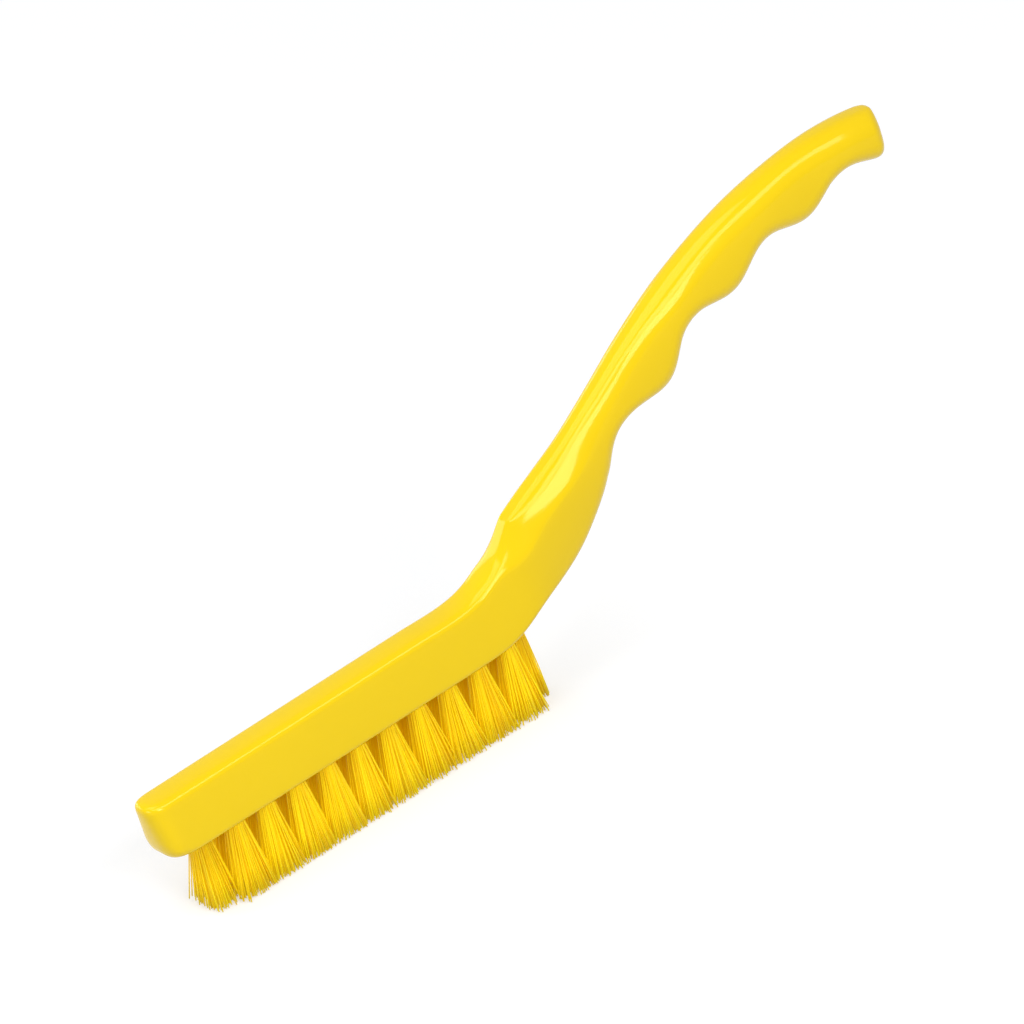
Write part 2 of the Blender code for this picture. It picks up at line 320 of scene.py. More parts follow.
@dataclass(frozen=True)
class MouldedPlastic:
    """Glossy yellow polypropylene with a faint orange peel, flow clouds and light handling marks."""

    colour: Colour = (0.88, 0.61, 0.001, 1.0)
    cloud_colour: Colour = (0.85, 0.575, 0.001, 1.0)
    shine: float = 0.42
    shine_tint: Colour = (1.0, 0.97, 0.50, 1.0)
    gloss: float = 0.09
    worn_gloss: float = 0.24
    clouds_per_metre: float = 45.0
    cloud_share: float = 0.35
    scuffs_per_metre: float = 900.0
    scuff_stretch: tuple[float, float, float] = (1.0, 0.12, 0.35)
    handling_per_metre: float = 60.0
    peel_per_metre: float = 420.0
    peel_height: float = 0.000006
    grain_per_metre: float = 3200.0
    grain_height: float = 0.00000072
    refraction: float = 1.49

    def build(self) -> bpy.types.Material:
        """Make the material.

        Returns:
            The finish of the body.
        """
        graph = Graph(bpy.data.materials.new("glossy_yellow_plastic"))
        clouds = graph.noise(self.clouds_per_metre, 3.0).fit(0.35, 0.75)
        scuffs = graph.noise(self.scuffs_per_metre, 4.0, 0.6, self.scuff_stretch).fit(0.62, 0.80)
        marks = scuffs * graph.noise(self.handling_per_metre).fit(0.42, 0.68)
        normal = graph.bump(graph.noise(self.peel_per_metre), self.peel_height, 0.5)
        normal = graph.bump(graph.noise(self.grain_per_metre), self.grain_height, 0.5, normal)
        colour = graph.mix_colour(clouds * self.cloud_share, self.colour, self.cloud_colour)
        roughness = marks * (self.worn_gloss - self.gloss) + clouds * 0.02 + self.gloss
        return graph.surface(Base_Color=colour, Roughness=roughness, Normal=normal, IOR=self.refraction,
                             Specular_IOR_Level=self.shine, Specular_Tint=self.shine_tint)


@dataclass(frozen=True)
class BristleFilament:
    """Yellow extruded filament, brighter along some strands, with painted amber shade where light hardly
    reaches and a faint painted glow.
    """

    colour: Colour = (1.0, 0.80, 0.004, 1.0)
    dull_colour: Colour = (0.95, 0.62, 0.002, 1.0)
    # Painted shade: the amber that filaments take near their roots and on the inner side of each row.
    root_colour: Colour = (0.62, 0.30, 0.001, 1.0)
    gloss: float = 0.34
    shine: float = 0.25
    # Painted glow: the filaments give a faint light of their own, standing in for light that passes through
    # them.
    inner_light: float = 0.12
    tone_share: float = 0.8
    streaks_per_metre: float = 1500.0
    streak_stretch: tuple[float, float, float] = (1.0, 1.0, 0.06)
    streak_share: float = 0.25
    streak_height: float = 0.00002

    def build(self) -> bpy.types.Material:
        """Make the material, which reads the tone and the depth, a painted shade, that each strand carries.

        Returns:
            The finish of the filaments.
        """
        graph = Graph(bpy.data.materials.new("yellow_filament"))
        tone = graph.read("ShaderNodeAttribute", "Fac", {"attribute_name": "tone"})
        depth = graph.read("ShaderNodeAttribute", "Fac", {"attribute_name": "depth"})
        streaks = graph.noise(self.streaks_per_metre, stretch=self.streak_stretch)
        dullness = tone * tone * self.tone_share + streaks * self.streak_share
        strand = graph.mix_colour(dullness, self.colour, self.dull_colour)
        # Painted shade: blend toward amber by the depth attribute, darker near the roots and on the inner
        # side of each row.
        shaded = graph.mix_colour(depth ** 1.2, strand, self.root_colour)
        roughness = streaks * 0.12 + self.gloss
        normal = graph.bump(streaks, self.streak_height, 0.4)
        # The filaments glow faintly in their painted-shade colour, a painted glow.
        return graph.surface(Base_Color=shaded, Roughness=roughness, Normal=normal,
                             Specular_IOR_Level=self.shine, Emission_Color=shaded,
                             Emission_Strength=self.inner_light)


@dataclass(frozen=True)
class DrawnWire:
    """Flat stainless wire with fine lines from the drawing die."""

    colour: Colour = (0.62, 0.62, 0.60, 1.0)
    dark_colour: Colour = (0.44, 0.44, 0.43, 1.0)
    lines_per_metre: float = 4200.0
    line_stretch: tuple[float, float, float] = (0.03, 1.0, 1.0)
    line_height: float = 0.000008
    stains_per_metre: float = 700.0

    def build(self) -> bpy.types.Material:
        """Make the material.

        Returns:
            The finish of the anchors.
        """
        graph = Graph(bpy.data.materials.new("drawn_steel_wire"))
        lines = graph.noise(self.lines_per_metre, 3.0, 0.6, self.line_stretch)
        stains = graph.noise(self.stains_per_metre).fit(0.45, 0.8, 0.0, 0.6)
        colour = graph.mix_colour(stains, self.colour, self.dark_colour)
        normal = graph.bump(lines, self.line_height, 0.6)
        return graph.surface(Base_Color=colour, Roughness=lines * 0.2 + 0.24, Metallic=1.0, Normal=normal)


@dataclass
class Outline:
    """Side view of the moulded body: where its top, underside and width are along its length."""

    head_length: float = 92.3
    head_width: float = 12.0
    head_height: float = 13.5
    toe_length: float = 5.6
    toe_exponents: tuple[float, float, float] = (2.5, 6.5, 5.0)
    toe_slant: float = 2.3
    heel_curve: float = 10.0
    straight_margin: float = 10.0
    neck_run: float = 41.5
    neck_rise: float = 25.4
    shoulder_share: float = 0.4535
    neck_width: float = 10.9
    neck_height: float = 14.1
    grip_run: float = 84.8
    grip_rise: float = 24.0
    grip_width: float = 12.6
    grip_height: float = 14.1
    end_length: float = 3.4
    end_exponents: tuple[float, float, float] = (2.1, 6.0, 6.0)
    groove_count: int = 4
    groove_pitch: float = 22.3
    groove_depth: float = 3.95
    bristle_trim: float = 16.8
    nose_steps: int = 22
    head_steps: int = 60
    handle_steps: int = 340
    end_steps: int = 16
    smoothing: float = 5.0
    grip_shape_start: float = 0.15
    grip_shape_run: float = 0.35
    tip_step: float = 0.05

    def design_stations(self) -> np.ndarray:
        """Design stations of the neck and grip.

        Returns:
            A row per station: top x and z, underside x and z, and width.
        """
        heel = self.head_length - self.heel_curve
        neck_x = heel + self.neck_run
        neck_top = self.head_height + self.neck_rise
        end_x = neck_x + self.grip_run
        end_top = neck_top + self.grip_rise
        shoulder_x = heel + self.shoulder_share * self.neck_run
        shoulder_top = self.head_height + 0.507 * self.neck_rise
        mid_x = blend(neck_x, end_x, 0.34)
        mid_top = blend(neck_top, end_top, 0.687)
        late_top = blend(mid_top, end_top, 0.862)
        waist = blend(self.head_width, self.neck_width, 0.5)
        head, neck, wide = self.head_width, self.neck_width, self.grip_width
        tall, thick = self.grip_height, self.neck_height

        def along(share: float) -> float:
            """Place between the middle of the grip and its end."""
            return blend(mid_x, end_x, share)

        return np.array((
            (heel - self.straight_margin, self.head_height, heel - self.straight_margin, 0.0, head),
            (heel, self.head_height - 0.1, heel + 1.0, 0.0, head),
            (heel + 7.0, self.head_height + 1.5, heel + 10.4, 0.7, head),
            (heel + 13.5, self.head_height + 6.0, heel + 20.0, 4.8, head),
            (shoulder_x, shoulder_top, heel + 31.7, 10.1, waist),
            (shoulder_x + 8.0, shoulder_top + 4.2, heel + 41.0, neck_top - 1.42 * thick, waist),
            (neck_x - 6.0, neck_top - 4.2, neck_x + 4.8, neck_top - 0.95 * thick, neck),
            (neck_x + 4.0, neck_top + 2.2, neck_x + 13.0, neck_top - 0.73 * thick, neck),
            (neck_x + 14.0, neck_top + 8.9, neck_x + 21.5, neck_top + 8.9 - tall, blend(neck, wide, 0.6)),
            (mid_x - 1.0, mid_top, mid_x + 5.2, mid_top - 0.95 * tall, wide),
            (along(0.29), late_top, along(0.36), late_top - 1.12 * tall, wide),
            (along(0.61), end_top + 2.2, along(0.65), end_top + 1.6 - tall, wide),
            (along(0.83), end_top + 2.3, along(0.84), end_top + 2.15 - 0.97 * tall, wide),
            (end_x, end_top + 0.9, end_x - 0.4, end_top + 0.2 - 0.73 * tall, wide),
        ))

    def handle(self) -> np.ndarray:
        """Fine sections of the neck and grip, smoothed, with the finger grooves in the underside.

        Returns:
            A row per section: top x and z, underside x and z, width, share of the grip shape, and how far
            it is filled across, above and below its middle.
        """
        points = self.design_stations()
        spans = len(points) - 1
        steps = np.linspace(0.0, 1.0, self.handle_steps + 1)
        rows = np.array([self.curve_point(points, step * spans) for step in steps])
        rows = self.smooth(rows)
        runs = np.hypot(np.diff(rows[:, 2]), np.diff(rows[:, 3]))
        to_end = np.concatenate((np.cumsum(runs[::-1])[::-1], [0.0]))
        place = (to_end - 0.5 * self.groove_pitch) / self.groove_pitch
        inside = (place >= -0.5) & (place <= self.groove_count - 0.5)
        depth = np.where(inside, self.groove_depth * (0.5 + 0.5 * np.cos(2.0 * math.pi * place)), 0.0)
        across = rows[:, 0:2] - rows[:, 2:4]
        across /= np.linalg.norm(across, axis=1)[:, None]
        rows[:, 2:4] += across * depth[:, None]
        share = np.array([ease((step - self.grip_shape_start) / self.grip_shape_run) for step in steps])
        return np.column_stack((rows, share, np.ones((len(rows), 3))))

    @staticmethod
    def curve_point(points: np.ndarray, place: float) -> np.ndarray:
        """Point of a Catmull-Rom curve through the rows of an array.

        Args:
            points: The array.
            place: Row to reach, with the share of the way to the next one.

        Returns:
            The values at that place.
        """
        index = min(int(place), len(points) - 2)
        t = place - index
        a, b = points[max(index - 1, 0)], points[index]
        c, d = points[index + 1], points[min(index + 2, len(points) - 1)]
        bend = 2 * a - 5 * b + 4 * c - d
        twist = 3 * b - a - 3 * c + d
        return 0.5 * (2 * b + (c - a) * t + bend * t * t + twist * t ** 3)

    def smooth(self, rows: np.ndarray) -> np.ndarray:
        """Take the kinks out of the curves with a bell-shaped average and keep their ends.

        Args:
            rows: The sections.

        Returns:
            The smoothed sections.
        """
        reach = int(3 * self.smoothing)
        offsets = np.arange(-reach, reach + 1)
        bell = np.exp(-0.5 * (offsets / self.smoothing) ** 2)
        bell /= bell.sum()
        before = 2 * rows[0] - rows[reach:0:-1]
        after = 2 * rows[-1] - rows[-2:-reach - 2:-1]
        padded = np.concatenate((before, rows, after))
        return np.column_stack([np.convolve(column, bell, "valid") for column in padded.T])

    @staticmethod
    def fills(reach: float, exponents: tuple[float, float, float]) -> tuple[float, ...]:
        """How far a rounded end is filled at a place along it: across, above and below its middle.

        Args:
            reach: Place along the end, from 0 where it starts to 1 at its very tip.
            exponents: Squareness across, above and below.

        Returns:
            Three shares, each 1 where the end starts and 0 at its tip.
        """
        return tuple((1.0 - reach ** power) ** (1.0 / power) for power in exponents)

    def nose(self) -> np.ndarray:
        """Sections of the rounded toe, which slants back at its base.

        Returns:
            A row per section, with the columns of handle().
        """
        rows = []
        for step in range(self.nose_steps):
            reach = math.cos(0.5 * math.pi * (step + self.tip_step) / self.nose_steps)
            x = self.toe_length * (1.0 - reach)
            fills = self.fills(reach, self.toe_exponents)
            rows.append((x, self.head_height, x + self.toe_slant * reach, 0.0, self.head_width, 0.0, *fills))
        return np.array(rows)

    def head(self) -> np.ndarray:
        """Sections of the straight head between the toe and the neck.

        Returns:
            A row per section, with the columns of handle().
        """
        straight_end = self.head_length - self.heel_curve - self.straight_margin
        rows = []
        for step in range(1, self.head_steps):
            share = step / self.head_steps
            x = blend(self.toe_length, straight_end, share)
            rows.append((x, self.head_height, x, 0.0, self.head_width, 0.0, 1.0, 1.0, 1.0))
        return np.array(rows)

    @staticmethod
    def ways_to_end(rows: np.ndarray) -> np.ndarray:
        """Way left from each section to the last one, along the middle of the grip.

        Args:
            rows: The sections of the neck and grip.

        Returns:
            A length per section.
        """
        middles = (rows[:, 0:2] + rows[:, 2:4]) / 2
        runs = np.linalg.norm(np.diff(middles, axis=0), axis=1)
        return np.concatenate((np.cumsum(runs[::-1])[::-1], [0.0]))

    def end(self, handle: np.ndarray) -> np.ndarray:
        """Sections that round off the end of the grip.

        Args:
            handle: The sections of the neck and grip.

        Returns:
            The sections that take the place of the last ones.
        """
        ways = self.ways_to_end(handle)[::-1]
        rows = []
        for step in range(self.end_steps):
            reach = math.sin(0.5 * math.pi * (step + 1.0 - self.tip_step) / self.end_steps)
            left = self.end_length * (1.0 - reach)
            shape = [np.interp(left, ways, column[::-1]) for column in handle[:, :6].T]
            rows.append((*shape, *self.fills(reach, self.end_exponents)))
        return np.array(rows)

    def sections(self) -> np.ndarray:
        """All sections from toe to grip end, lifted onto the bristles and centred on the origin.

        Returns:
            A row per section, with the columns of handle().
        """
        handle = self.handle()
        kept = handle[self.ways_to_end(handle) > self.end_length]
        rows = np.concatenate((self.nose(), self.head(), kept, self.end(handle)))
        rows[:, (1, 3)] += self.bristle_trim
        middle = (rows[:, (0, 2)].min() + rows[:, (0, 2)].max()) / 2
        rows[:, (0, 2)] -= middle
        return rows

    @cached_property
    def toe_offset(self) -> float:
        """Place of the toe on the X axis."""
        return float(self.sections()[:, 0].min())


@dataclass
class MouldedBody:
    """Head, neck and grip in one moulding, with its tuft holes.

    A limit is the largest share of one side of a section that a rounding may take.
    """

    outline: Outline = field(default_factory=Outline)
    head_top_narrowing: float = 0.37
    neck_top_narrowing: float = 0.06
    bevel_start: float = -11.0
    bevel_rise: float = 6.0
    bevel_peak: float = 3.0
    bevel_fade: float = 17.0
    grip_top_narrowing: float = 0.30
    head_top_radius: float = 1.5
    head_base_radius: float = 1.5
    neck_top_radius: float = 6.2
    grip_top_radius: float = 3.8
    grip_base_radius: float = 5.0
    head_crown: float = 0.40
    grip_crown: float = 0.7
    head_bulge: float = 0.15
    grip_bulge: float = 0.90
    melt_start: float = -13.0
    melt_end: float = -3.0
    settle_start: float = 7.0
    settle_end: float = 27.0
    dish_start: float = -4.5
    dish_bow: float = 0.16
    dish_end: float = 20.0
    dish_ramp: float = 3.2
    dish_hold: float = 4.0
    dish_depth: float = 0.75
    dish_half_width: float = 4.2
    dish_band: float = 0.25
    end_middle: float = 0.15
    toe_base_softness: float = 3.0
    toe_soft_length: float = 9.0
    round_curl: float = 0.6
    flat_curl: float = 0.2
    base_limit: float = 0.96
    low_side_limit: float = 0.44
    high_side_limit: float = 0.50
    top_limit: float = 0.76
    crown_climb: float = 1.6
    profile_steps: tuple[int, ...] = (7, 11, 10, 11, 7)
    weld_distance: float = 0.0005
    sharp_angle: float = 38.0
    rim_chamfer: float = 0.35
    hole_sides: int = 24
    hole_overshoot: float = 2.0

    @staticmethod
    def rounded(start: np.ndarray, corner: np.ndarray, stop: np.ndarray, curl: float,
                t: float) -> np.ndarray:
        """Point of the curve that rounds a corner.

        Args:
            start: Where the curve leaves the first side.
            corner: The corner.
            stop: Where the curve meets the second side.
            curl: How far the curve bends toward the corner.
            t: Place along the curve, from 0 to 1.

        Returns:
            The point.
        """
        near, far = start + (corner - start) * curl, stop + (corner - stop) * curl
        return (start * (1 - t) ** 3 + near * 3 * t * (1 - t) ** 2
                + far * 3 * t * t * (1 - t) + stop * t ** 3)

    def half_profile(self, half_top: float, half_base: float, half_height: float, top_radius: float,
                     base_radius: float, crown: float, bulge: float, curl: float) -> np.ndarray:
        """Half a section, from the middle of the underside round the side to the middle of the top.

        Args:
            half_top: Half the width of the top.
            half_base: Half the width of the underside.
            half_height: Half the height.
            top_radius: Rounding of the top edge.
            base_radius: Rounding of the lower edge.
            crown: How far the middle of the top stands above its edges.
            bulge: How far the side stands out at half its height.
            curl: How far the top edge bends toward its corner.

        Returns:
            A row per point: place across and place up.
        """
        shoulder = half_height - crown
        corners = np.array(((0.0, -half_height), (half_base, -half_height), (half_top, shoulder),
                            (0.0, shoulder)))
        spans = np.diff(corners, axis=0)
        lengths = np.linalg.norm(spans, axis=1)
        ways = spans / np.maximum(lengths, TINY)[:, None]
        low_cut = min(base_radius, self.base_limit * lengths[0], self.low_side_limit * lengths[1])
        side_cut = min(top_radius, self.high_side_limit * lengths[1])
        high_cut = min(top_radius, self.top_limit * lengths[2])
        stops = (corners[0], corners[1] - ways[0] * low_cut, corners[1] + ways[1] * low_cut,
                 corners[2] - ways[1] * side_cut, corners[2] + ways[2] * high_cut, corners[3])
        curls = {1: self.round_curl, 3: curl}
        points = []
        for part, count in enumerate(self.profile_steps):
            start, stop, corner = stops[part], stops[part + 1], corners[(part + 1) // 2]
            for step in range(count):
                share = step / count
                if part in curls:
                    points.append(self.rounded(start, corner, stop, curls[part], share))
                else:
                    points.append(start + (stop - start) * share)
        points.append(corners[3])
        profile = np.array(points)
        across = np.clip(profile[:, 0] / max(half_top, TINY), 0.0, 1.0)
        up = np.clip(profile[:, 1] / half_height, 0.0, 1.0)
        profile[:, 1] += crown * (1.0 - across ** 2) * np.clip(up * self.crown_climb, 0.0, 1.0)
        side = 1.0 - np.clip(np.abs(profile[:, 1]) / half_height, 0.0, 1.0) ** 2
        profile[:, 0] += bulge * side * np.clip(profile[:, 0] / max(half_base, TINY), 0.0, 1.0)
        return profile

    def section(self, row: np.ndarray) -> np.ndarray:
        """Points of one closed section in space.

        Args:
            row: One row of the outline's sections.

        Returns:
            A row per point, from the middle of the underside round and back to it.
        """
        top, low, width, share = row[0:2], row[2:4], row[4], row[5]
        across_fill, top_fill, base_fill = row[6:9]
        half_height = max(np.linalg.norm(top - low) / 2, TINY)
        neck = ease((top[0] - self.bevel_start) / self.bevel_rise)
        neck *= 1.0 - ease((top[0] - self.bevel_peak) / self.bevel_fade)
        melt = ease((top[0] - self.melt_start) / (self.melt_end - self.melt_start))
        settle = ease((top[0] - self.settle_start) / (self.settle_end - self.settle_start))
        narrowing = blend(self.head_top_narrowing, self.grip_top_narrowing, share)
        narrowing = blend(narrowing, self.neck_top_narrowing, neck)
        top_radius = blend(self.head_top_radius, self.neck_top_radius, melt)
        top_radius = blend(top_radius, self.grip_top_radius, settle)
        base_radius = blend(self.head_base_radius, self.grip_base_radius, share)
        past_toe = ease((low[0] - self.outline.toe_offset) / self.toe_soft_length)
        base_radius += self.toe_base_softness * (1.0 - past_toe)
        crown = blend(self.head_crown, self.grip_crown, share)
        bulge = blend(self.head_bulge, self.grip_bulge, max(melt, share))
        half_base = width / 2 - bulge
        half = self.half_profile(half_base * (1.0 - narrowing), half_base, half_height, top_radius,
                                 base_radius, crown, bulge, blend(self.round_curl, self.flat_curl, neck))
        near_top = (half[:, 1] / half_height - 1.0) / self.dish_band + 1.0
        half[:, 1] -= self.dish(top[0], half[:, 0]) * np.clip(near_top, 0.0, 1.0)
        half[:, 0] *= across_fill
        centre = self.end_middle * half_height
        fill = np.where(half[:, 1] > centre, top_fill, base_fill)
        half[:, 1] = centre + (half[:, 1] - centre) * fill
        middle = (top + low) / 2
        up = (top - low) / (2 * half_height)
        near = np.column_stack((middle[0] + up[0] * half[:, 1], -half[:, 0], middle[1] + up[1] * half[:, 1]))
        far = near[-2::-1] * (1.0, -1.0, 1.0)
        return np.concatenate((near, far))

    def dish(self, x: float, across: np.ndarray) -> np.ndarray:
        """Depth of the thumb rest, a shallow dish that starts with a curved crease and fades upward.

        Args:
            x: Place along the brush.
            across: Places across it.

        Returns:
            The depth at each place across.
        """
        reach = (x - self.dish_start - self.dish_bow * across ** 2) / self.dish_ramp
        start = np.clip(reach, 0.0, 1.0)
        full_end = self.dish_start + self.dish_hold
        fade = 1.0 - ease((x - full_end) / (self.dish_end - full_end))
        edge = np.exp(-(across / self.dish_half_width) ** 4)
        return self.dish_depth * start * (2.0 - start) * fade * edge

    def skin(self) -> bmesh.types.BMesh:
        """Wrap a grid round the sections, draw both ends to a point and weld the seam.

        Returns:
            The closed skin of the body, without holes.
        """
        rings = [self.section(row) for row in self.outline.sections()]
        caps = [np.tile(ring.mean(axis=0), (len(ring), 1)) for ring in (rings[0], rings[-1])]
        rings = [caps[0], *rings, caps[1]]
        length, sides = len(rings) - 1, len(rings[0]) - 1
        bm = bmesh.new()
        bmesh.ops.create_grid(bm, x_segments=length, y_segments=sides, size=0.5)
        for vertex in bm.verts:
            along = round((vertex.co.x + 0.5) * length)
            around = round((vertex.co.y + 0.5) * sides)
            vertex.co = rings[along][around]
        bmesh.ops.remove_doubles(bm, verts=bm.verts, dist=self.weld_distance)
        bmesh.ops.recalc_face_normals(bm, faces=bm.faces)
        return bm

    def drill(self, body: bpy.types.Object, tufts: "TuftRows") -> None:
        """Cut the blind tuft holes with chamfered rims and a pocket for each anchor's ends.

        Args:
            body: The body, in metres.
            tufts: The rows whose holes are cut.
        """
        radius, chamfer = tufts.hole_diameter / 2, self.rim_chamfer
        length = tufts.hole_depth + self.hole_overshoot
        middle = Vector((0.0, 0.0, (tufts.hole_depth - self.hole_overshoot) / 2))
        holes, rims, pockets = bmesh.new(), bmesh.new(), bmesh.new()
        for place in tufts.places():
            made = bmesh.ops.create_cone(holes, cap_ends=True, segments=self.hole_sides, radius1=radius,
                                         radius2=radius, depth=length)
            bmesh.ops.translate(holes, vec=place.root + middle, verts=made["verts"])
            made = bmesh.ops.create_cone(rims, cap_ends=True, segments=self.hole_sides,
                                         radius1=radius + chamfer, radius2=radius - chamfer,
                                         depth=2 * chamfer)
            bmesh.ops.translate(rims, vec=place.root, verts=made["verts"])
            made = bmesh.ops.create_cube(pockets, size=1.0)
            bmesh.ops.scale(pockets, vec=Vector(tufts.anchor_pocket()), verts=made["verts"])
            bmesh.ops.translate(pockets, vec=tufts.anchor_centre(place.root), verts=made["verts"])
        self.cut(body, "tuft_holes", holes)
        self.cut(body, "hole_rims", rims)
        self.cut(body, "anchor_pockets", pockets)

    @staticmethod
    def cut(body: bpy.types.Object, name: str, bm: bmesh.types.BMesh) -> None:
        """Cut a tool out of the body and remove the tool.

        Args:
            body: The body, in metres.
            name: Name of the tool.
            bm: Its mesh in millimetres, which is freed.
        """
        bmesh.ops.scale(bm, vec=Vector((MM, MM, MM)), verts=bm.verts)
        mesh = bpy.data.meshes.new(name)
        bm.to_mesh(mesh)
        bm.free()
        tool = bpy.data.objects.new(name, mesh)
        bpy.context.scene.collection.objects.link(tool)
        modifier = body.modifiers.new(name, "BOOLEAN")
        modifier.operation = "DIFFERENCE"
        modifier.solver = "EXACT"
        modifier.object = tool
        bpy.context.view_layer.update()
        evaluated = body.evaluated_get(bpy.context.evaluated_depsgraph_get())
        result = bpy.data.meshes.new_from_object(evaluated)
        body.modifiers.clear()
        old = body.data
        body.data = result
        bpy.data.meshes.remove(old)
        bpy.data.objects.remove(tool, do_unlink=True)
        bpy.data.meshes.remove(mesh)

    def build(self, material: bpy.types.Material, tufts: "TuftRows") -> bpy.types.Object:
        """Model the body and let it stand for its node.

        Args:
            material: Finish of the moulding.
            tufts: The rows whose holes are cut.

        Returns:
            The finished body.
        """
        body = finish_piece("moulded_body", self.skin(), material)
        self.drill(body, tufts)
        body.data.name = "moulded_body"
        body.data.set_sharp_from_angle(angle=math.radians(self.sharp_angle))
        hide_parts("brush_body")
        return body


@dataclass(frozen=True)
class TuftPlace:
    """One tuft: its name, where it leaves the head, and where and how widely its tips stand."""

    label: str
    root: Vector
    tip: Vector
    spread: tuple[float, float]


@dataclass
class TuftRows:
    """Ten pairs of tufts and one more at each end, each a bundle of filaments over its wire anchor.

    The free shares are the places of a leg's points below the hole, counted from its tip.
    """

    outline: Outline
    tufts_per_row: int = 10
    pitch: float = 8.0
    first_pair_from_toe: float = 19.8
    toe_tuft_before: float = 7.4
    heel_tuft_after: float = 4.0
    row_offset: float = 2.5
    lean_out: float = 1.75
    toe_lean: float = 0.4
    heel_lean: float = 1.5
    pair_spread: tuple[float, float] = (4.7, 2.9)
    toe_spread: tuple[float, float] = (3.6, 5.2)
    heel_spread: tuple[float, float] = (2.4, 2.7)
    hole_diameter: float = 4.0
    hole_depth: float = 8.0
    clearance: float = 0.3
    fold_thickness: float = 1.2
    anchor_thickness: float = 0.4
    anchor_height: float = 1.8
    anchor_length: float = 5.0
    filament_diameter: float = 0.28
    folded_filaments: int = 115
    filament_sides: int = 5
    raggedness: float = 0.42
    raggedness_limit: float = 1.1
    lowest_tip: float = 0.06
    spread_range: tuple[float, float] = (0.86, 1.03)
    stray_share: float = 0.05
    stray_range: tuple[float, float] = (1.03, 1.10)
    drift: tuple[float, float] = (0.22, 0.18)
    bow: float = 0.10
    widest: float = 7.72
    squareness: float = 0.85
    free_shares: tuple[float, ...] = (0.0, 0.36, 0.72)
    mouth_rise: float = 0.3
    hole_play: float = 0.05
    fold_drift: float = 0.05
    fold_lift: float = 0.2
    fold_rise: float = 0.9
    # Painted shade of the filaments: how far up it starts, and how it falls off across a row.
    lit_share: float = 0.3
    middle_shade: float = 0.5
    shade_slope: float = 0.22
    least_shade: float = 0.15
    heel_lift: float = 0.0

    def pair_place(self, index: int) -> float:
        """Place of a pair along the brush, counted from the toe."""
        return self.outline.toe_offset + self.first_pair_from_toe + index * self.pitch

    def places(self) -> list[TuftPlace]:
        """Place of every tuft.

        Returns:
            The near row, the far row, the toe tuft and the heel tuft.
        """
        trim = self.outline.bristle_trim
        found = []
        for row in Row:
            for index in range(self.tufts_per_row):
                x = self.pair_place(index)
                root = Vector((x, row.side * self.row_offset, trim))
                tip = Vector((x, row.side * (self.row_offset + self.lean_out), 0.0))
                found.append(TuftPlace(f"{row.label}_{index + 1:02d}", root, tip, self.pair_spread))
        first = self.pair_place(0) - self.toe_tuft_before
        last = self.pair_place(self.tufts_per_row - 1) + self.heel_tuft_after
        singles = (("toe", first, 0.0, self.toe_lean, self.toe_spread),
                   ("heel", last, self.heel_lift, self.heel_lean, self.heel_spread))
        for label, x, lift, lean, spread in singles:
            root, tip = Vector((x, 0.0, trim + lift)), Vector((x + lean, 0.0, 0.0))
            found.append(TuftPlace(label, root, tip, spread))
        return found

    def anchor_centre(self, root: Vector) -> Vector:
        """Middle of the anchor in the hole above a root."""
        top = root.z + self.hole_depth - 2 * self.clearance - self.fold_thickness
        return Vector((root.x, root.y, top - self.anchor_height / 2))

    def anchor_pocket(self) -> tuple[float, float, float]:
        """Size of the pocket round an anchor."""
        play = 2 * self.clearance
        return self.anchor_length + play, self.anchor_thickness + play, self.anchor_height + play

    def strand_template(self, rings: int) -> bpy.types.Mesh:
        """Straight closed tube of unit radius whose rings stand at whole heights.

        Args:
            rings: Number of rings along the strand.

        Returns:
            The mesh, with each vertex's ring in its height.
        """
        bm = bmesh.new()
        bmesh.ops.create_cone(bm, cap_ends=True, segments=self.filament_sides, radius1=1.0, radius2=1.0,
                              depth=rings - 1)
        upright = [edge for edge in bm.edges if abs(edge.verts[0].co.z - edge.verts[1].co.z) > 0.5]
        bmesh.ops.subdivide_edges(bm, edges=upright, cuts=rings - 2)
        bmesh.ops.translate(bm, vec=Vector((0, 0, (rings - 1) / 2)), verts=bm.verts)
        mesh = bpy.data.meshes.new("strand_template")
        bm.to_mesh(mesh)
        bm.free()
        return mesh

    def square_spot(self, spot: Vector) -> Vector:
        """Move a spot of the round hole to its place in the squarer patch that the tips fill.

        Args:
            spot: Place in the hole, within a circle of radius 1.

        Returns:
            Place in the patch, within a square with rounded corners.
        """
        spread = Vector((0.0, 0.0, 0.0))
        for axis in (0, 1):
            base = 2.0 + spot[axis] ** 2 - spot[1 - axis] ** 2
            shift = 2.0 * math.sqrt(2.0) * spot[axis]
            spread[axis] = 0.5 * (math.sqrt(max(base + shift, 0.0)) - math.sqrt(max(base - shift, 0.0)))
        return spot.lerp(spread, self.squareness)

